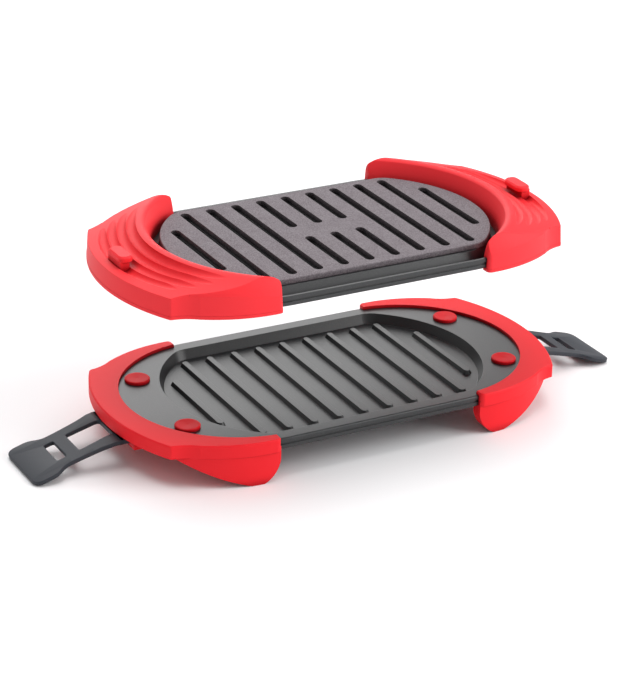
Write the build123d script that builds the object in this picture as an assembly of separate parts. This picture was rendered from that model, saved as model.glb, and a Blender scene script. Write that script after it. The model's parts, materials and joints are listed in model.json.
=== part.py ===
"""Microwave grill pan: two ribbed plates in silicone end grips, held shut by two straps.

All sizes are millimetres. The origin is on the table under the middle of the
pan, +X runs along its length and +Z is up. The lid hovers parallel over the
base, the way it is lifted off, and both straps lie out on the table.
"""
import os
from math import asin, cos, degrees, radians, sqrt

from build123d import *

os.makedirs("parts", exist_ok=True)

# Pressed plates
PLATE_R = 76.0          # radius of the rounded ends, so the plate is 152 wide
PLATE_C = 62.0          # end centre from the middle, so the plate is 276 long
SHEET = 1.8             # wall left after pressing
SKIRT = 6.6             # height of the turned-down rim, from the flange top
PAN_R = 80.0            # end radius of the cooking recess
END_C = 26.0            # centre shared by every concentric end curve
PAN_HALF = 66.5         # half width of the recess at its rim
PAN_BLEND = 16.0        # corner blend between recess end and side
PAN_DEEP = 6.3          # flange top down to the cooking floor
PAN_DRAFT = 24.0        # draft of the recess wall in degrees
EDGE_ROUND = 1.2
BEAD_HIGH, BEAD_DEEP = 1.4, 0.6

# Ribs that mark the food, with a groove pressed behind each one
PITCH = 17.62
RIB_COUNT = 11
RIB_HALF = 58.0
RIB_END_HALF = 35.0     # the outermost ribs are shorter
RIB_W = 6.2
RIB_HIGH = 2.5
RIB_DRAFT = 25.0
GROOVE_W = 3.6
GROOVE_DEEP = 1.9

# Microwave-absorbing layer moulded on the outside of each plate
HEAT_T = 3.5
HEAT_HALF = 63.0
HEAT_R = 79.5
HEAT_ROUND = 0.7
SLOT_W = 6.0
PAD_HALF = 8.5          # bare band across the three middle slots

# Silicone end grips
GRIP_TOP = 28.6         # top plane of the base grips
LIP = 2.0               # lip over the plate edge
BAND = 8.6              # height of the outer band on the base grips
LIP_R = PLATE_R - 3.0   # inner edge of the lip, about the plate's end centre
WALL_R = PAN_R + 4.5    # inner wall under the flange, about the end curve centre
OUTER_R = PLATE_C + PLATE_R + 12.5 - END_C  # outer end arc
CORNER_Y = PLATE_R - 15.6
PRONG_X = 70.0
PRONG_Y = PLATE_R + 3.0
SIDE_MID = (PLATE_C + 35.0, PLATE_R + 0.2)
SIDE_END = (PLATE_C + PLATE_R - 19.0, PLATE_R - 9.1)
CORNER_DIP = (PLATE_C + PLATE_R - 12.0, PLATE_R - 13.4)
WEB_BOTTOM = 17.0
WEB_INSET = 5.0
FIT = 0.1               # gap left round every curved seat
EASE, EASE_ANGLE = 0.8, 38.0    # bevel that softens the band's top edge

# Legs under the prongs of the base grips
LEG_R = 78.2
LEG_T = 7.6
LEG_C = 78.0
LEG_END = 131.0
FOOT_X0, FOOT_X1 = PRONG_X + 11.0, PRONG_X + 19.0   # flat that stands on the table
LEG_HEEL = (PRONG_X + 3.3, 6.2)     # middle of the rounded end by the prong's tip
LEG_SWEEP = (FOOT_X1 + 22.0, 8.0)   # middle of the long sweep up to the corner

# Buttons that pin the grips to the plates
STUD_INSET = 25.4       # from the plate's end to a button's centre
STUD_X, STUD_Y = PLATE_C + PLATE_R - STUD_INSET, 36.6
STUD_HEAD_R = 8.0
STUD_SHANK_R = 3.0
STUD_BULB_R = 5.0
STUD_BULB_T = 2.2
STUD_DISH = 0.5         # depth of the shallow dish in the head

# Lid
LIFT = 82.0             # gap between base grips and lid grips in this pose
CREST = 22.6            # height of the lid grip crest over its bottom plane
# Long slope: share of the way from the inner wall to the outer end, and height there
SLOPE = ((0.0975, CREST - 1.3), (0.1575, CREST), (0.275, 21.5), (0.4625, 18.7),
         (0.6875, 16.0), (0.8875, 14.0), (1.0625, 12.4))
# Terraces: share of the same way, height of the hollow's bottom, and the half angle where it fades out
GROOVES = ((0.3325, 17.5, 41.0), (0.4775, 15.2, 37.0), (0.6175, 13.4, 32.5), (0.7575, 12.1, 28.5))
GROOVE_BALL = 3.6       # section radius of the terraces' hollows
GROOVE_RISE = 3.4       # how far a hollow climbs before it leaves the slope
DOME_R = PRONG_Y + 0.4  # foot of the rounded flank, about the leg centre
FAR = 400.0             # longer than any cut needs
WIDE = 40.0             # half width that clears a whole strap

# Catch on each lid grip
END_X = END_C + OUTER_R     # outermost point of the grips
CATCH_X0, CATCH_X1 = END_X - 13.0, END_X - 7.1
CATCH_HEAD_X0, CATCH_HEAD_X1 = END_X - 16.0, END_X - 6.5
CATCH_STEM_HALF, CATCH_HEAD_HALF = 9.0, 10.0
CATCH_UNDER, CATCH_TOP = 18.2, 21.6

# Straps
STRAP_T = 2.8
PIVOT_X, PIVOT_Z = END_X + 2.0, 17.3
KNUCKLE_R = 2.0
HINGE_GAP = 0.08
ROOT_HALF = 22.0
FOLD_HALF = 19.0
WINDOW_HALF_ROOT, WINDOW_HALF_FOLD = 10.0, 11.2
WINDOW_END = 20.8
FOLD_S = 26.0           # fold line, measured along the strap from the first hinge
SMALL_S0, SMALL_S1, SMALL_HALF = 29.4, 35.8, 11.0
PADDLE_S, PADDLE_HALF, TIP_S = 38.5, 24.0, 56.4
PADDLE_ROUND = 5.0
ROOT_LONG = 34.5        # how far the strap's root reaches into the grip
ANCHOR_X0 = PIVOT_X - ROOT_LONG
BAR_W, BAR_HALF, BAR_UP = 4.0, 24.0, 2.2
HOUSE_WALL, HOUSE_LONG = 6.0, 26.0
HOUSE_X0, HOUSE_X1 = ANCHOR_X0 - HOUSE_WALL, ANCHOR_X0 + HOUSE_LONG
HOUSE_HALF, HOUSE_BOTTOM = 28.0, 13.6

FLANGE_TOP = GRIP_TOP - LIP
FLANGE_BOTTOM = FLANGE_TOP - SHEET
SKIRT_BOTTOM = FLANGE_TOP - SKIRT
FLOOR = FLANGE_TOP - PAN_DEEP
FLOOR_BACK = FLOOR - SHEET
BAND_BOTTOM = GRIP_TOP - BAND
BEAD_LOW = SKIRT_BOTTOM + 2.4   # groove rolled round the rim to stiffen it
TURN = 2 * GRIP_TOP + LIFT      # z + z' of the same point on base and lid
DROOP = degrees(asin((PIVOT_Z - STRAP_T / 2) / TIP_S)) - 0.05


def slab(face, z0, z1, taper=0):
    """Extrude an outline from z0 up to z1; tapered ones are the same front to back."""
    block = extrude(face, z1 - z0, taper=taper)
    if block.bounding_box().min.Z < -0.01:
        block = Rot(180, 0, 0) * block
    return Pos(0, 0, z0) * block


def box(x0, x1, y0, y1, z0, z1):
    """Box between two corners."""
    return Pos((x0 + x1) / 2, (y0 + y1) / 2, (z0 + z1) / 2) * Box(x1 - x0, y1 - y0, z1 - z0)


def stadium(radius):
    """Outline of the plate, or of a curve parallel to it."""
    return SlotCenterToCenter(2 * PLATE_C, 2 * radius)


def recess(radius, half):
    """Outline with wide end arcs, straight sides and blended corners."""
    raw = SlotCenterToCenter(2 * END_C, 2 * radius) & Rectangle(FAR, 2 * half)
    corners = [v for v in raw.vertices() if abs(v.X) > END_C + 5]
    return fillet(corners, PAN_BLEND)


def rib_rows():
    """Place and half length of every rib."""
    last = RIB_COUNT // 2
    for k in range(-last, last + 1):
        yield k, k * PITCH, RIB_END_HALF if abs(k) == last else RIB_HALF


def bar(x, y0, y1, width):
    """Round-ended bar outline across the pan."""
    return Pos(x, (y0 + y1) / 2) * Rot(0, 0, 90) * SlotOverall(y1 - y0, width)


def stud_spots(side):
    """The two button places on one end."""
    return [(side * STUD_X, -STUD_Y), (side * STUD_X, STUD_Y)]


def plate():
    """One pressed plate, cooking side up, in the base's place."""
    blank = slab(stadium(PLATE_R), SKIRT_BOTTOM, FLANGE_TOP)
    blank = fillet(blank.faces().sort_by(Axis.Z)[-1].edges(), EDGE_ROUND)
    blank -= slab(stadium(PLATE_R - SHEET), SKIRT_BOTTOM, FLANGE_BOTTOM)
    bead = slab(stadium(PLATE_R + 1), BEAD_LOW, BEAD_LOW + BEAD_HIGH)
    blank -= bead - slab(stadium(PLATE_R - BEAD_DEEP), BEAD_LOW, BEAD_LOW + BEAD_HIGH)
    rim = Pos(0, 0, FLANGE_TOP) * recess(PAN_R, PAN_HALF)
    rim_back = Pos(0, 0, FLANGE_BOTTOM) * recess(PAN_R + SHEET / 2, PAN_HALF + SHEET / 2)
    blank += extrude(rim_back, -(FLANGE_BOTTOM - FLOOR_BACK), taper=PAN_DRAFT)
    blank -= extrude(rim, -PAN_DEEP, taper=PAN_DRAFT)
    for _, x, half in rib_rows():
        blank += slab(bar(x, -half, half, RIB_W), FLOOR, FLOOR + RIB_HIGH, RIB_DRAFT)
        blank -= slab(bar(x, -half + 2, half - 2, GROOVE_W), FLOOR_BACK, FLOOR_BACK + GROOVE_DEEP)
    for side in (-1, 1):
        for x, y in stud_spots(side):
            blank -= Pos(x, y, FLANGE_TOP) * Cylinder(STUD_SHANK_R + FIT, 4 * SHEET)
    return blank


def heater():
    """The absorbing layer, slotted where the plate is grooved."""
    low = FLOOR_BACK - HEAT_T
    panel = slab(recess(HEAT_R, HEAT_HALF), low, FLOOR_BACK)
    panel = fillet(panel.faces().sort_by(Axis.Z)[0].edges(), HEAT_ROUND)
    for k, x, half in rib_rows():
        spans = [(-half, -PAD_HALF), (PAD_HALF, half)] if abs(k) < 2 else [(-half, half)]
        for y0, y1 in spans:
            panel -= slab(bar(x, y0, y1, SLOT_W), low, FLOOR_BACK)
    return panel


def grip_face(inset=0.0):
    """Outline of the right-hand grip, filled in towards the middle of the pan."""
    r = OUTER_R - inset
    cy = CORNER_Y - inset
    corner = (END_C + sqrt(r * r - cy * cy), cy)
    tip = (PRONG_X, PRONG_Y - inset)
    side_mid, side_end, dip = [(x - inset * 0.4, y - inset) for x, y in (SIDE_MID, SIDE_END, CORNER_DIP)]
    line = ThreePointArc(tip, side_mid, side_end) + ThreePointArc(side_end, dip, corner)
    line += mirror(line, Plane.XZ)
    line += ThreePointArc(corner, (END_C + r, 0), (corner[0], -corner[1]))
    line += Line((tip[0], -tip[1]), tip)
    face = make_face(line)
    points = [v for v in face.vertices() if v.X > dip[0]]
    face = fillet(points, 1.8)
    ends = [v for v in face.vertices() if v.X < PRONG_X + 1]
    return fillet(ends, 3.0)


def plate_room():
    """Space the plate's edge takes inside a grip, with the curved seats eased."""
    room = slab(stadium(PLATE_R + FIT), SKIRT_BOTTOM, FLANGE_TOP)
    return room - slab(stadium(PLATE_R - SHEET - FIT), SKIRT_BOTTOM, FLANGE_BOTTOM)


def stud_room(side):
    """Pockets for the button bulbs under the flange."""
    low = FLANGE_BOTTOM - STUD_BULB_T
    return [Pos(x, y, low) * Cylinder(STUD_BULB_R + 3 * FIT, STUD_BULB_T + SHEET, align=BOTTOM)
            for x, y in stud_spots(side)]


BOTTOM = (Align.CENTER, Align.CENTER, Align.MIN)


def leg():
    """Both leg walls under the prongs, cut to the swept side view."""
    ring = Pos(LEG_C, 0) * (Circle(LEG_R) - Circle(LEG_R - LEG_T))
    ring &= Pos((PRONG_X + LEG_END) / 2, 0) * Rectangle(LEG_END - PRONG_X, FAR)
    walls = slab(ring, 0, BAND_BOTTOM + 3)
    top = BAND_BOTTOM + 3
    side = Line((PRONG_X, top), (PRONG_X, 20)) + ThreePointArc((PRONG_X, 20), LEG_HEEL, (FOOT_X0, 0))
    side += Line((FOOT_X0, 0), (FOOT_X1, 0)) + ThreePointArc((FOOT_X1, 0), LEG_SWEEP, (LEG_END, 18.6))
    side += Line((LEG_END, 18.6), (LEG_END, top)) + Line((LEG_END, top), (PRONG_X, top))
    view = Plane.XZ * make_face(side)
    return walls & (extrude(view, 90) + extrude(view, -90))


def strap_slot():
    """The part of the strap that is caught in the grip."""
    z0, z1 = PIVOT_Z - STRAP_T / 2, PIVOT_Z + STRAP_T / 2
    plate_part = box(ANCHOR_X0, PIVOT_X, -ROOT_HALF, ROOT_HALF, z0, z1)
    return plate_part + box(ANCHOR_X0, ANCHOR_X0 + BAR_W, -BAR_HALF, BAR_HALF, z0 - BAR_UP, z1 + BAR_UP)


def lower_grip():
    """Right-hand grip of the base."""
    band = slab(grip_face(), BAND_BOTTOM, GRIP_TOP - EASE)
    band += slab(grip_face(), GRIP_TOP - EASE, GRIP_TOP, EASE_ANGLE)
    band -= slab(Pos(PLATE_C, 0) * Circle(LIP_R), FLANGE_TOP, GRIP_TOP)
    web = slab(grip_face(WEB_INSET), WEB_BOTTOM, FLANGE_BOTTOM)
    grip = band + web
    grip -= slab(Pos(END_C, 0) * Circle(WALL_R), WEB_BOTTOM, FLANGE_TOP)
    grip += box(HOUSE_X0, HOUSE_X1, -HOUSE_HALF, HOUSE_HALF, HOUSE_BOTTOM, BAND_BOTTOM)
    grip += leg()
    grip -= plate_room()
    grip -= strap_slot()
    for pocket in stud_room(1):
        grip -= pocket
    return grip


def outward(share):
    """Radius at that share of the way from the lid grip's inner wall to its outer end."""
    return WALL_R + share * (OUTER_R - WALL_R)


def wave():
    """Solid of revolution whose top is the lid grip's long slope."""
    foot = SHEET + LIP
    spots = [(outward(share), height) for share, height in SLOPE]
    end = (spots[-1][0], LIP)
    wall = ThreePointArc((WALL_R, foot), (WALL_R + 0.9, 13.0), spots[0])
    rest = Line(spots[-1], end) + Line(end, (WALL_R, LIP)) + Line((WALL_R, LIP), (WALL_R, foot))
    section = make_face(wall + Spline(spots) + rest)
    return Pos(END_C, 0, 0) * revolve(Plane.XZ * section, Axis.Z)


def flank():
    """Rounded dome that rolls the prongs' outer sides over, with the corners left full."""
    arc = ThreePointArc((DOME_R - 7.4, CREST + 1.2), (DOME_R - 2.2, 15.0), (DOME_R, 0))
    edge = arc + Line((DOME_R, 0), (0, 0)) + Line((0, 0), (0, CREST + 1.2))
    edge += Line((0, CREST + 1.2), (DOME_R - 7.4, CREST + 1.2))
    dome = Pos(LEG_C, 0, 0) * revolve(Plane.XZ * make_face(edge), Axis.Z)
    return dome + box(CORNER_DIP[0] - 2.0, FAR, -FAR, FAR, 0, CREST + 1.2)


def terrace(radius, height, fade):
    """Ring whose tilt lifts it out of the slope at both ends of its arc."""
    rise = GROOVE_RISE / (radius * (1 - cos(radians(fade))))
    tilt = degrees(asin(rise))
    ring = Pos(-radius, 0, 0) * Torus(radius, GROOVE_BALL)
    return Pos(END_C + radius, 0, height + GROOVE_BALL) * Rot(0, tilt, 0) * ring


def catch():
    """Hooked knob that the strap's small window drops over."""
    stem = box(CATCH_X0, CATCH_X1, -CATCH_STEM_HALF, CATCH_STEM_HALF, 8, CATCH_UNDER + 1)
    head = box(CATCH_HEAD_X0, CATCH_HEAD_X1, -CATCH_HEAD_HALF, CATCH_HEAD_HALF, CATCH_UNDER, CATCH_TOP)
    head = fillet(head.edges().filter_by(Axis.Z), 4.0)
    head = chamfer(head.faces().sort_by(Axis.Z)[-1].edges(), 1.1)
    return stem + head


def upper_grip():
    """Right-hand grip of the lid, over its own bottom plane."""
    lip = slab(grip_face(), 0, LIP) - slab(Pos(PLATE_C, 0) * Circle(LIP_R), 0, LIP)
    hill = wave() & slab(grip_face(), 0, CREST + 2, taper=3.5) & flank()
    for share, height, fade in GROOVES:
        hill -= terrace(outward(share), height, fade)
    top, tip = (PRONG_X + 9.5, CREST + 1), (PRONG_X, 13.0)
    ear = Line((PRONG_X, 0), tip) + ThreePointArc(tip, (PRONG_X + 2.2, 20.0), top)
    ear += Line(top, (FAR, CREST + 1)) + Line((FAR, CREST + 1), (FAR, 0)) + Line((FAR, 0), (PRONG_X, 0))
    view = Plane.XZ * make_face(ear)
    hill &= extrude(view, 90) + extrude(view, -90)
    grip = lip + hill + catch()
    turned = Pos(0, 0, GRIP_TOP) * Rot(180, 0, 0)
    grip -= turned * plate_room()
    for pocket in stud_room(1):
        grip -= turned * pocket
    return grip


def stud(x, y):
    """Push-in button: dished head, shank through the flange and a bulb under it."""
    head = Pos(x, y, FLANGE_TOP) * Cylinder(STUD_HEAD_R, LIP, align=BOTTOM)
    head = chamfer(head.faces().sort_by(Axis.Z)[-1].edges(), 0.5)
    head -= Pos(x, y, GRIP_TOP - STUD_DISH) * Cone(0.5, STUD_HEAD_R - 1.6, STUD_DISH, align=BOTTOM)
    shank = Pos(x, y, FLANGE_BOTTOM) * Cylinder(STUD_SHANK_R, SHEET, align=BOTTOM)
    bulb = Pos(x, y, FLANGE_BOTTOM - STUD_BULB_T) * Cylinder(STUD_BULB_R, STUD_BULB_T, align=BOTTOM)
    bulb = chamfer(bulb.faces().sort_by(Axis.Z)[0].edges(), 1.2)
    return head + shank + bulb


def strap_plate(face):
    """Strap length laid flat: s along +X from the first hinge line at z = 0."""
    return slab(face, -STRAP_T / 2, STRAP_T / 2)


def knuckle(half, radius, s=0.0):
    """Hinge barrel across the strap."""
    return Pos(s, 0, 0) * Rot(90, 0, 0) * Cylinder(radius, 2 * half)


def anchor():
    """Fixed root of the right-hand strap."""
    root = strap_slot() - box(PIVOT_X - 2.3, PIVOT_X + 1, -WINDOW_HALF_ROOT, WINDOW_HALF_ROOT, 0, 30)
    return root - Pos(PIVOT_X, 0, PIVOT_Z) * knuckle(WIDE, KNUCKLE_R + HINGE_GAP)


def arm():
    """First swinging length, from the grip to the fold line, laid flat."""
    edge = Line((0, ROOT_HALF), (10, 20)) + Line((10, 20), (FOLD_S, FOLD_HALF))
    edge += mirror(edge, Plane.XZ)
    edge += Line((0, ROOT_HALF), (0, -ROOT_HALF)) + Line((FOLD_S, FOLD_HALF), (FOLD_S, -FOLD_HALF))
    flat = strap_plate(make_face(edge)) + knuckle(ROOT_HALF, KNUCKLE_R)
    hole = Polygon((-4, -WINDOW_HALF_ROOT), (WINDOW_END, -WINDOW_HALF_FOLD),
                   (WINDOW_END, WINDOW_HALF_FOLD), (-4, WINDOW_HALF_ROOT), align=None)
    hole = fillet([v for v in hole.vertices() if v.X > 10], 1.8)
    flat -= slab(hole, -5, 5)
    flat -= box(-9, 0, -WIDE, WIDE, -5, 5) - knuckle(2 * WIDE, KNUCKLE_R)
    return flat - knuckle(WIDE, KNUCKLE_R + HINGE_GAP, FOLD_S)


def tab():
    """Outer length with the small window and the finger paddle, laid flat."""
    neck = Pos((FOLD_S + PADDLE_S + 2) / 2, 0) * Rectangle(PADDLE_S + 2 - FOLD_S, 2 * FOLD_HALF)
    paddle = Pos((PADDLE_S + TIP_S) / 2, 0) * Rectangle(TIP_S - PADDLE_S, 2 * PADDLE_HALF)
    paddle = fillet(paddle.vertices(), PADDLE_ROUND)
    flat = strap_plate(neck + paddle)
    window = Pos((SMALL_S0 + SMALL_S1) / 2, 0) * Rectangle(SMALL_S1 - SMALL_S0, 2 * SMALL_HALF)
    flat -= slab(fillet(window.vertices(), 1.2), -5, 5)
    return flat + knuckle(FOLD_HALF, KNUCKLE_R, FOLD_S)


def laid_out(flat):
    """Swing a flat strap length down until its tip meets the table."""
    return Pos(PIVOT_X, 0, PIVOT_Z) * Rot(0, DROOP, 0) * flat


def left(shape):
    """The same piece at the other end of the pan."""
    return Rot(0, 0, 180) * shape


def as_lid(shape):
    """The same pressing turned over, held above the base."""
    return Pos(0, 0, TURN) * Rot(180, 0, 0) * shape


def lifted(shape):
    """Raise a lid piece drawn over its own bottom plane."""
    return Pos(0, 0, GRIP_TOP + LIFT) * shape


pieces = {}
base_plate, base_heater = plate(), heater()
pieces["lower_plate"], pieces["lower_heater"] = base_plate, base_heater
pieces["upper_plate"], pieces["upper_heater"] = as_lid(base_plate), as_lid(base_heater)

low_grip, high_grip = lower_grip(), lifted(upper_grip())
for end, place in (("right", lambda s: s), ("left", left)):
    pieces[f"lower_grip_{end}"] = place(low_grip)
    pieces[f"upper_grip_{end}"] = place(high_grip)
    for row, y in (("front", -STUD_Y), ("back", STUD_Y)):
        spot = stud(STUD_X, y if end == "right" else -y)
        pieces[f"lower_stud_{end}_{row}"] = place(spot)
        pieces[f"upper_stud_{end}_{row}"] = place(as_lid(stud(STUD_X, -y if end == "right" else y)))
    pieces[f"strap_{end}_anchor"] = place(anchor())
    pieces[f"strap_{end}_arm"] = place(laid_out(arm()))
    pieces[f"strap_{end}_tab"] = place(laid_out(tab()))

for name, shape in pieces.items():
    export_step(shape, f"parts/{name}.step")
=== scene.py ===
"""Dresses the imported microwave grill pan: finishes, one-piece straps and the studio."""
import json
import math

import bmesh
import bpy
from mathutils import Matrix, Vector


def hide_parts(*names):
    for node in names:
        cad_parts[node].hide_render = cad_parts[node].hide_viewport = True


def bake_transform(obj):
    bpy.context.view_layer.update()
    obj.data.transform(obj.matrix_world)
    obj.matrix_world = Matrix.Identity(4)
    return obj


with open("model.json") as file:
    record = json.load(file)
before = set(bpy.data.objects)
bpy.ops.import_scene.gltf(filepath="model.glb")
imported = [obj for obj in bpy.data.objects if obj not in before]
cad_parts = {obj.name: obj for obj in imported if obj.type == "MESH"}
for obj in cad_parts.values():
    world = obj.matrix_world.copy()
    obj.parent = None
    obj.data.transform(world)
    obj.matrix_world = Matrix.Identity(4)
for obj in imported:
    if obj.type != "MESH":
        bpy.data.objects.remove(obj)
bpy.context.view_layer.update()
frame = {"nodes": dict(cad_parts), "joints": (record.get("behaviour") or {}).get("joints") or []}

bl_info = {
    "name": "Microwave grill pan",
    "version": (1, 0, 0),
    "blender": (4, 5, 0),
    "location": "3D view > Sidebar > Grill pan",
    "description": "Finishes, straps and studio for a two-plate microwave grill pan",
    "category": "Object",
}

MM = 0.001
SIDES = ("left", "right")
CREASE = math.radians(32)           # edges of the CAD pieces sharper than this stay sharp
STRAP_CREASE = math.radians(35)
FLAT = 0.999                        # a face this square to the sheet is a broad face
CORNER_SHARE = 0.45                 # most of an edge that one rounded corner may take
EDGE_STEPS = 2                      # facets that round a strap's edge
FLOOR_SIZE = 12                     # metres of paper, past any view's edge
SENSOR = 36.0                       # millimetres
AIR = 0.47                          # brightness of the white studio round the pan

# Light, kind, place in metres, size (an angle for the sun) and power
LAMPS = (
    ("overhead panel", "SUN", (0.0, 0.3, 1.6), math.radians(50), 1.6),
    ("key from the right", "AREA", (1.5, -1.1, 1.0), 1.5, 33.0),
    ("sheen from behind", "AREA", (0.45, 1.7, 0.9), 1.4, 13.0),
)


def joint(name):
    """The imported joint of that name."""
    return next(j for j in frame["joints"] if j["name"] == name)


def linear(code):
    """Turn an sRGB hex colour into the linear values a shader takes."""
    parts = [int(code[i:i + 2], 16) / 255 for i in (1, 3, 5)]
    return [p / 12.92 if p <= 0.04045 else ((p + 0.055) / 1.055) ** 2.4 for p in parts]


def colour(name, what, code):
    """A colour setting of the scene."""
    return bpy.props.FloatVectorProperty(name=name, description=what, default=linear(code),
                                         size=3, subtype="COLOR", min=0.0, max=1.0)


def length(name, what, mm):
    """A length setting of the scene, given in millimetres."""
    return bpy.props.FloatProperty(name=name, description=what, default=mm * MM, unit="LENGTH")


class PanFinish(bpy.types.PropertyGroup):
    """Colours, painted shade and grains of the pan's materials.

    The real grains are about 0.1 mm on the silicone, 0.3 mm in the sprayed coat
    and 0.4 mm in the backing, which is too fine to show, so all are drawn coarser.
    """

    lid_red: colour("Lid grip red", "Silicone of the lid's grips", "#F5343B")
    base_red: colour("Base grip red", "Silicone of the base's grips", "#EE222B")
    button_red: colour("Button red", "Silicone of the push-in buttons", "#E0121F")
    # Painted shade: the deep red that the grips' nooks take instead of their own red
    painted_shade_red: colour("Deep red", "Silicone where light comes back from silicone", "#A0000C")
    coating: colour("Coating", "Non-stick coat of the plates", "#1D1E20")
    coating_fleck: colour("Coating fleck", "Paler flecks in the coat", "#303234")
    # Painted shade: the near black that the coat takes in its grooves
    coating_painted_shade: colour("Coating in grooves", "Coat that light hardly reaches", "#050506")
    absorber: colour("Absorber", "Ferrite-loaded backing", "#5C5458")
    absorber_pale: colour("Absorber grain", "Pale grain of the backing", "#81797E")
    # Painted shade: the near black that the backing takes in its slots
    absorber_painted_shade: colour("Absorber in slots", "Backing that light hardly reaches", "#0E0B0C")
    slate: colour("Strap slate", "Elastomer of the straps", "#262A32")
    silicone_grain: length("Silicone grain", "Spacing of the mould's fine texture", 0.5)
    coat_grain: length("Coat grain", "Spacing of the sprayed coat's orange peel", 0.9)
    absorber_grain: length("Absorber grain size", "Spacing of the filler grains", 0.8)
    nook: length("Nook", "How far a wall shades the surface beside it", 7.0)


class PanStrap(bpy.types.PropertyGroup):
    """Sizes of the one-piece straps, measured along the strap from its swing line."""

    thick: length("Thickness", "Thickness of the moulded strap", 2.8)
    root: length("Root", "How far the strap runs on inside the grip", 6.0)
    root_half: length("Root half width", "Half width where it leaves the grip", 22.0)
    waist: length("Waist", "Where the sides stop narrowing", 10.0)
    waist_half: length("Waist half width", "Half width at the waist", 20.0)
    neck_half: length("Neck half width", "Half width at the crossbar", 19.0)
    fold: length("Fold line", "Distance to the fold line", 26.0)
    window_start: length("Window start", "Inner end of the finger window", -2.3)
    window_end: length("Window end", "Outer end of the finger window", 20.8)
    window_half_in: length("Window half, inner", "Half width at the inner end", 10.3)
    window_half_out: length("Window half, outer", "Half width at the outer end", 11.2)
    window_round: length("Window corner", "Corner radius of the finger window", 2.0)
    slot_start: length("Catch window start", "Inner end of the catch window", 29.4)
    slot_end: length("Catch window end", "Outer end of the catch window", 35.8)
    slot_half: length("Catch window half", "Half width of the catch window", 11.0)
    slot_round: length("Catch window corner", "Corner radius of the catch window", 1.6)
    paddle: length("Paddle start", "Inner end of the finger paddle", 38.5)
    paddle_half: length("Paddle half width", "Half width of the paddle", 24.0)
    paddle_round: length("Paddle corner", "Corner radius of the paddle", 5.0)
    shoulder: length("Shoulder", "Length over which the sides widen to the paddle", 4.5)
    tip: length("Tip", "Distance to the strap's end", 56.4)
    edge: length("Edge round", "Rounding of the moulded edges", 0.45)


class PanStudio(bpy.types.PropertyGroup):
    """Camera and floor."""

    azimuth: bpy.props.FloatProperty(name="Azimuth", description="Camera angle round the pan",
                                     default=math.radians(-28.66), subtype="ANGLE")
    elevation: bpy.props.FloatProperty(name="Elevation", description="Camera angle over the table",
                                       default=math.radians(24.42), subtype="ANGLE")
    roll: bpy.props.FloatProperty(name="Roll", description="Camera turn about its own axis",
                                  default=math.radians(1.32), subtype="ANGLE")
    spot: bpy.props.FloatVectorProperty(name="Camera place", description="Where the camera stands",
                                        default=(-0.6920, -1.2474, 0.6897), size=3,
                                        subtype="TRANSLATION")
    lens: bpy.props.FloatProperty(name="Lens", description="Focal length on a 36 mm sensor",
                                  default=128.1, unit="CAMERA")
    floor: colour("Floor", "Paper under the pan", "#F4F4F5")


def settings(group):
    """The scene's settings of one group."""
    return getattr(bpy.context.scene, group)


def add(tree, kind, links=None, **values):
    """Add a shader node, set its own values and sockets, and link what feeds it."""
    node = tree.nodes.new("ShaderNode" + kind)
    for key, value in values.items():
        if key in node.inputs:
            node.inputs[key].default_value = value
        elif key.replace("_", " ") in node.inputs:
            node.inputs[key.replace("_", " ")].default_value = value
        else:
            setattr(node, key, value)
    for key, source in (links or {}).items():
        tree.links.new(source, node.inputs[key])
    return node


def new_material(name):
    """An empty node material and its tree."""
    material = bpy.data.materials.new(name)
    material.use_nodes = True
    material.node_tree.nodes.clear()
    return material, material.node_tree


def finish_material(tree, shader):
    """Link the shader to the output."""
    add(tree, "OutputMaterial", {"Surface": shader.outputs[0]})


def fine_noise(tree, spacing, detail=2.0):
    """Noise in the object's own space whose features are that far apart."""
    place = add(tree, "TexCoord")
    return add(tree, "TexNoise", {"Vector": place.outputs["Object"]}, Scale=1 / spacing,
               Detail=detail)


def openness(tree):
    """How open the surface lies, from ambient occlusion: 1 in the open, towards 0 deep in a
    groove; the colours use it for painted shade.
    """
    reach = settings("pan_finish").nook
    return add(tree, "AmbientOcclusion", samples=8, Distance=reach).outputs["AO"]


def shades(tree, value, stops):
    """Colours that follow a value, given as pairs of position and colour."""
    ramp = add(tree, "ValToRGB", {"Fac": value})
    colours = ramp.color_ramp.elements
    while len(colours) < len(stops):
        colours.new(0.5)
    for element, (position, _) in zip(colours, stops):
        element.position = position
    for element, (_, rgb) in zip(colours, stops):   # moving a stop may reorder them
        element.color = (*rgb, 1.0)
    return ramp.outputs["Color"]


def silicone(name, rgb, roughness):
    """Moulded silicone, which takes the fine blast texture of its mould."""
    # To the eye: a soft, slightly waxy red with broad milky highlights, with painted shade that
    # turns it a deeper red in its nooks.
    finish = settings("pan_finish")
    material, tree = new_material(name)
    # Painted shade: the red darkens towards the deep red where ambient occlusion finds a nook
    red = shades(tree, openness(tree), ((0.35, finish.painted_shade_red), (0.92, rgb)))
    grain = fine_noise(tree, finish.silicone_grain)
    soft = add(tree, "Bevel", samples=4, Radius=0.5 * MM)
    bump = add(tree, "Bump", {"Height": grain.outputs[0], "Normal": soft.outputs[0]},
               Strength=0.06, Distance=0.1 * MM)
    shader = add(tree, "BsdfPrincipled", {"Base Color": red, "Normal": bump.outputs[0]},
                 Roughness=roughness, IOR=1.41, Specular_IOR_Level=0.22, Subsurface_Weight=0.10,
                 Subsurface_Scale=2.0 * MM, Subsurface_Radius=(1.0, 0.22, 0.18))
    finish_material(tree, shader)
    return material


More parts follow.
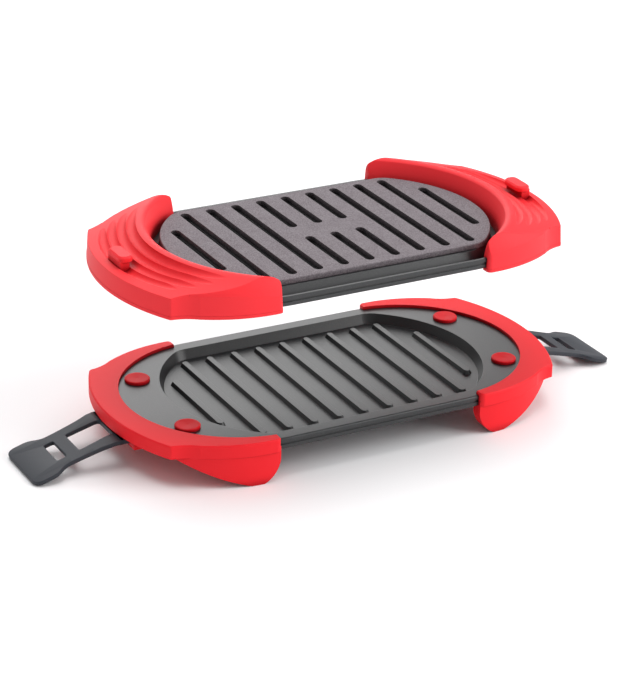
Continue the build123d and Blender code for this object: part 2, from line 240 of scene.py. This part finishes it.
def coated_plate():
    """Pressed aluminium under a sprayed non-stick coat."""
    # To the eye: near black and satin, faintly flecked, pale where it mirrors a light; painted
    # shade darkens it further in the grooves.
    finish = settings("pan_finish")
    material, tree = new_material("aluminium, sprayed non-stick")
    peel = fine_noise(tree, finish.coat_grain)
    fleck = fine_noise(tree, finish.coat_grain * 0.6, 4.0)
    # Painted shade: the fleck grain is multiplied by ambient occlusion, so the grooves go darker
    grain_and_painted_shade = add(tree, "Math", {0: fleck.outputs[0], 1: openness(tree)}, operation="MULTIPLY")
    coat = shades(tree, grain_and_painted_shade.outputs[0], ((0.12, finish.coating_painted_shade), (0.36, finish.coating),
                                          (0.50, finish.coating), (0.70, finish.coating_fleck)))
    soft = add(tree, "Bevel", samples=4, Radius=0.5 * MM)
    bump = add(tree, "Bump", {"Height": peel.outputs[0], "Normal": soft.outputs[0]},
               Strength=0.12, Distance=0.1 * MM)
    shader = add(tree, "BsdfPrincipled", {"Base Color": coat, "Normal": bump.outputs[0]},
                 Roughness=0.38, IOR=1.5, Coat_Weight=0.2, Coat_Roughness=0.3)
    finish_material(tree, shader)
    return material


def absorber_backing():
    """Silicone loaded with ferrite grains and moulded onto the plate."""
    # To the eye: a dry, warm grey with a visible grain and almost no gloss; painted shade darkens
    # it in the slots.
    finish = settings("pan_finish")
    material, tree = new_material("silicone, ferrite-loaded, moulded")
    grain = fine_noise(tree, finish.absorber_grain, 5.0)
    cloud = fine_noise(tree, finish.absorber_grain * 14, 2.0)
    # Painted shade: the grain is multiplied by ambient occlusion, so the slots go near black
    grain_and_painted_shade = add(tree, "Math", {0: grain.outputs[0], 1: openness(tree)}, operation="MULTIPLY")
    grey = shades(tree, grain_and_painted_shade.outputs[0], ((0.16, finish.absorber_painted_shade), (0.34, finish.absorber),
                                          (0.66, finish.absorber_pale)))
    worn = add(tree, "MapRange", {"Value": cloud.outputs[0]},
               From_Min=0.3, From_Max=0.7, To_Min=0.66, To_Max=0.84)
    soft = add(tree, "Bevel", samples=4, Radius=0.4 * MM)
    bump = add(tree, "Bump", {"Height": grain.outputs[0], "Normal": soft.outputs[0]},
               Strength=0.5, Distance=0.2 * MM)
    shader = add(tree, "BsdfPrincipled", {"Base Color": grey, "Normal": bump.outputs[0],
                                          "Roughness": worn.outputs[0]}, IOR=1.43)
    finish_material(tree, shader)
    return material


def strap_elastomer():
    """Moulded elastomer, stiffer than the grips."""
    # To the eye: dark slate with a dull sheen.
    finish = settings("pan_finish")
    material, tree = new_material("elastomer, moulded")
    grain = fine_noise(tree, finish.silicone_grain)
    bump = add(tree, "Bump", {"Height": grain.outputs[0]}, Strength=0.1, Distance=0.1 * MM)
    shader = add(tree, "BsdfPrincipled", {"Normal": bump.outputs[0]},
                 Base_Color=(*finish.slate, 1.0), Roughness=0.5, IOR=1.45)
    finish_material(tree, shader)
    return material


def paint(names, material):
    """Give CAD nodes one finish, smooth where their surfaces run on."""
    for name in names:
        mesh = frame["nodes"][name].data
        mesh.materials.clear()
        mesh.materials.append(material)
        mesh.shade_smooth()
        mesh.set_sharp_from_angle(angle=CREASE)


def nodes_like(start):
    """Names of the CAD nodes that begin that way."""
    return [name for name in frame["nodes"] if name.startswith(start)]


def rounded(points, radius, steps=6):
    """Closed outline with every corner replaced by a short curve."""
    out = []
    count = len(points)
    for i, point in enumerate(points):
        here = Vector(point)
        before, after = Vector(points[i - 1]) - here, Vector(points[(i + 1) % count]) - here
        reach = min(radius, before.length * CORNER_SHARE, after.length * CORNER_SHARE)
        a, b = here + before.normalized() * reach, here + after.normalized() * reach
        for k in range(steps + 1):
            t = k / steps
            out.append((1 - t) ** 2 * a + 2 * t * (1 - t) * here + t * t * b)
    return out


def strap_sheet():
    """Flat strap with rounded edges as a mesh: x along the strap, y across, z through."""
    size = settings("pan_strap")
    half = [(-size.root, size.root_half), (0.0, size.root_half), (size.waist, size.waist_half),
            (size.fold, size.neck_half), (size.paddle - size.shoulder, size.neck_half),
            (size.paddle + size.shoulder * 0.6, size.paddle_half), (size.tip, size.paddle_half)]
    outline = rounded(half + [(s, -y) for s, y in reversed(half)], size.paddle_round * 1.5, 10)
    window = rounded([(size.window_start, -size.window_half_in),
                      (size.window_end, -size.window_half_out),
                      (size.window_end, size.window_half_out),
                      (size.window_start, size.window_half_in)], size.window_round)
    slot = rounded([(size.slot_start, -size.slot_half), (size.slot_end, -size.slot_half),
                    (size.slot_end, size.slot_half), (size.slot_start, size.slot_half)],
                   size.slot_round)
    curve = bpy.data.curves.new("strap outline", "CURVE")
    curve.dimensions, curve.fill_mode = "2D", "BOTH"
    for loop in (outline, window, slot):
        spline = curve.splines.new("POLY")
        spline.points.add(len(loop) - 1)
        for spot, point in zip(spline.points, loop):
            spot.co = (point[0], point[1], 0.0, 1.0)
        spline.use_cyclic_u = True
    curve.bevel_depth, curve.bevel_resolution = size.edge, EDGE_STEPS
    curve.offset = -size.edge
    curve.extrude = size.thick / 2 - size.edge
    holder = bpy.data.objects.new("strap outline", curve)
    bpy.context.scene.collection.objects.link(holder)
    graph = bpy.context.evaluated_depsgraph_get()
    mesh = bpy.data.meshes.new_from_object(holder.evaluated_get(graph))
    bpy.data.objects.remove(holder)
    return mesh


def cut(sheet, at, keep):
    """Copy of the sheet cut across at that distance, keeping "inner" or "outer"."""
    part = bmesh.new()
    part.from_mesh(sheet)
    bmesh.ops.remove_doubles(part, verts=part.verts, dist=0.001 * MM)
    where = Vector((at, 0, 0))
    everything = part.verts[:] + part.edges[:] + part.faces[:]
    bmesh.ops.bisect_plane(part, geom=everything, plane_co=where, plane_no=Vector((1, 0, 0)),
                           clear_outer=keep == "inner", clear_inner=keep == "outer")
    rim = [e for e in part.edges if e.is_boundary]
    bmesh.ops.holes_fill(part, edges=rim)
    part.normal_update()
    for face in part.faces:     # the broad faces stay flat, the moulded edges run round
        face.smooth = abs(face.normal.z) < FLAT
    return part


def loops(part, low, high, step):
    """Add cross cuts so that the sheet bends smoothly between two distances."""
    for k in range(int((high - low) / step) + 1):
        everything = part.verts[:] + part.edges[:] + part.faces[:]
        bmesh.ops.bisect_plane(part, geom=everything, plane_co=Vector((low + k * step, 0, 0)),
                               plane_no=Vector((1, 0, 0)))


def outward(side):
    """The way a strap leaves its grip."""
    return Vector((1 if side == "right" else -1, 0, 0))


def strap_path(side):
    """Swing point, fold point and direction of one strap as it lies on the table."""
    swing = Vector(joint(f"{side}_strap_swing")["pos_m"])
    fold = Vector(joint(f"{side}_strap_fold")["pos_m"])
    return swing, fold, (fold - swing).normalized()


def lay(part, side):
    """Bend a flat strap length out of the grip and down to the table."""
    swing, _, along = strap_path(side)
    flat = outward(side)
    turn = 3.0 * MM                 # half the length that the bend takes
    for v in part.verts:
        s, across, through = v.co
        t = min(max((s + turn) / (2 * turn), 0), 1)
        heading = flat.lerp(along, t).normalized()
        if -turn < s < turn:
            a, b = swing - flat * turn, swing + along * turn
            spine = (1 - t) ** 2 * a + 2 * t * (1 - t) * swing + t * t * b
        else:
            spine = swing + (flat if s < 0 else along) * s
        up = Vector((-heading.z, 0, heading.x)) * flat.x
        v.co = spine + up * through + Vector((0, across * flat.x, 0))


def strap_piece(part, name, material):
    """Turn a finished bmesh into a shown object."""
    bmesh.ops.recalc_face_normals(part, faces=part.faces)
    mesh = bpy.data.meshes.new(name)
    part.to_mesh(mesh)
    part.free()
    mesh.materials.append(material)
    mesh.set_sharp_from_angle(angle=STRAP_CREASE)
    obj = bpy.data.objects.new(name, mesh)
    bpy.context.scene.collection.objects.link(obj)
    return obj


class PAN_OT_plates(bpy.types.Operator):
    """Coat both pressed plates"""

    bl_idname = "pan.plates"
    bl_label = "Plates"

    def execute(self, context):
        paint(["lower_plate", "upper_plate"], coated_plate())
        return {"FINISHED"}


class PAN_OT_absorbers(bpy.types.Operator):
    """Finish the microwave-absorbing backs"""

    bl_idname = "pan.absorbers"
    bl_label = "Absorbing backs"

    def execute(self, context):
        paint(["lower_heater", "upper_heater"], absorber_backing())
        return {"FINISHED"}


class PAN_OT_grips(bpy.types.Operator):
    """Finish the silicone grips of base and lid"""

    bl_idname = "pan.grips"
    bl_label = "Grips"

    def execute(self, context):
        finish = settings("pan_finish")
        paint(nodes_like("lower_grip"), silicone("silicone, moulded, base", finish.base_red, 0.5))
        paint(nodes_like("upper_grip"), silicone("silicone, moulded, lid", finish.lid_red, 0.5))
        return {"FINISHED"}


class PAN_OT_buttons(bpy.types.Operator):
    """Finish the push-in buttons"""

    bl_idname = "pan.buttons"
    bl_label = "Buttons"

    def execute(self, context):
        red = silicone("silicone, moulded, buttons", settings("pan_finish").button_red, 0.55)
        paint(nodes_like("lower_stud") + nodes_like("upper_stud"), red)
        return {"FINISHED"}


class PAN_OT_straps(bpy.types.Operator):
    """Mould each strap from one sheet in two lengths, bent where the hinges stand"""

    bl_idname = "pan.straps"
    bl_label = "Straps"

    def execute(self, context):
        size = settings("pan_strap")
        material = strap_elastomer()
        paint(nodes_like("strap"), material)
        sheet = strap_sheet()
        # Where the two lengths meet, how far apart the cross cuts lie, and half of each bend
        seam, step, bend = 14 * MM, 0.5 * MM, 3.5 * MM
        for side in SIDES:
            inner = cut(sheet, seam, "inner")
            loops(inner, -bend, bend, step)
            lay(inner, side)
            arm = strap_piece(inner, f"strap_{side}_rails", material)
            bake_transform(arm)
            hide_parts(f"strap_{side}_arm")
            outer = cut(sheet, seam, "outer")
            loops(outer, size.fold - bend, size.fold + bend, step)
            lay(outer, side)
            tab = strap_piece(outer, f"strap_{side}_paddle", material)
            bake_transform(tab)
            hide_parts(f"strap_{side}_tab")
        bpy.data.meshes.remove(sheet)
        return {"FINISHED"}


class PAN_OT_studio(bpy.types.Operator):
    """Set the paper floor, the soft lights and the camera"""

    bl_idname = "pan.studio"
    bl_label = "Studio"

    def execute(self, context):
        studio = settings("pan_studio")
        scene = context.scene
        # Matt paper: an even white that takes soft shadows and shows no gloss.
        paper, tree = new_material("paper, matt white")
        finish_material(tree, add(tree, "BsdfPrincipled", Base_Color=(*studio.floor, 1.0),
                                  Roughness=0.9))
        bpy.ops.mesh.primitive_plane_add(size=FLOOR_SIZE)
        floor = context.object
        floor.name = "paper floor"
        floor.data.materials.append(paper)
        world = bpy.data.worlds.new("studio air")
        world.use_nodes = True
        air = world.node_tree.nodes["Background"].inputs
        air["Color"].default_value = (1.0, 1.0, 1.0, 1.0)
        air["Strength"].default_value = AIR
        scene.world = world
        for name, kind, spot, spread, power in LAMPS:
            light = bpy.data.lights.new(name, kind)
            light.energy = power
            if kind == "SUN":
                light.angle = spread
            else:
                light.shape, light.size = "SQUARE", spread
            lamp = bpy.data.objects.new(name, light)
            lamp.location = spot
            lamp.rotation_euler = (-Vector(spot)).to_track_quat("-Z", "Y").to_euler()
            scene.collection.objects.link(lamp)
        lens = bpy.data.cameras.new("studio camera")
        lens.sensor_width, lens.lens = SENSOR, studio.lens
        camera = bpy.data.objects.new("studio camera", lens)
        az, el, roll = studio.azimuth, studio.elevation, studio.roll
        back = Vector((math.sin(az) * math.cos(el), -math.cos(az) * math.cos(el), math.sin(el)))
        right = (-back).cross(Vector((0, 0, 1))).normalized()
        up = right.cross(-back)
        turned = Matrix((right, up, back)).transposed() @ Matrix.Rotation(roll, 3, "Z")
        camera.matrix_world = Matrix.Translation(studio.spot) @ turned.to_4x4()
        scene.collection.objects.link(camera)
        scene.camera = camera
        scene.view_settings.view_transform = "Standard"
        return {"FINISHED"}


OPERATORS = (PAN_OT_plates, PAN_OT_absorbers, PAN_OT_grips, PAN_OT_buttons, PAN_OT_straps,
             PAN_OT_studio)


class PAN_PT_panel(bpy.types.Panel):
    """Steps of the grill pan, in the order they are made"""

    bl_idname = "PAN_PT_panel"
    bl_label = "Grill pan"
    bl_space_type = "VIEW_3D"
    bl_region_type = "UI"
    bl_category = "Grill pan"

    def draw(self, context):
        for operator in OPERATORS:
            self.layout.operator(operator.bl_idname)


GROUPS = {"pan_finish": PanFinish, "pan_strap": PanStrap, "pan_studio": PanStudio}


def register():
    """Register the settings, the operators and the panel."""
    for name, group in GROUPS.items():
        bpy.utils.register_class(group)
        setattr(bpy.types.Scene, name, bpy.props.PointerProperty(type=group))
    for kind in (*OPERATORS, PAN_PT_panel):
        bpy.utils.register_class(kind)


def unregister():
    """Take them away again."""
    for kind in (PAN_PT_panel, *reversed(OPERATORS)):
        bpy.utils.unregister_class(kind)
    for name, group in GROUPS.items():
        delattr(bpy.types.Scene, name)
        bpy.utils.unregister_class(group)


def main():
    """Make every piece in order."""
    register()
    for operator in OPERATORS:
        group, step = operator.bl_idname.split(".")
        getattr(getattr(bpy.ops, group), step)()


if __name__ == "__main__":
    main()
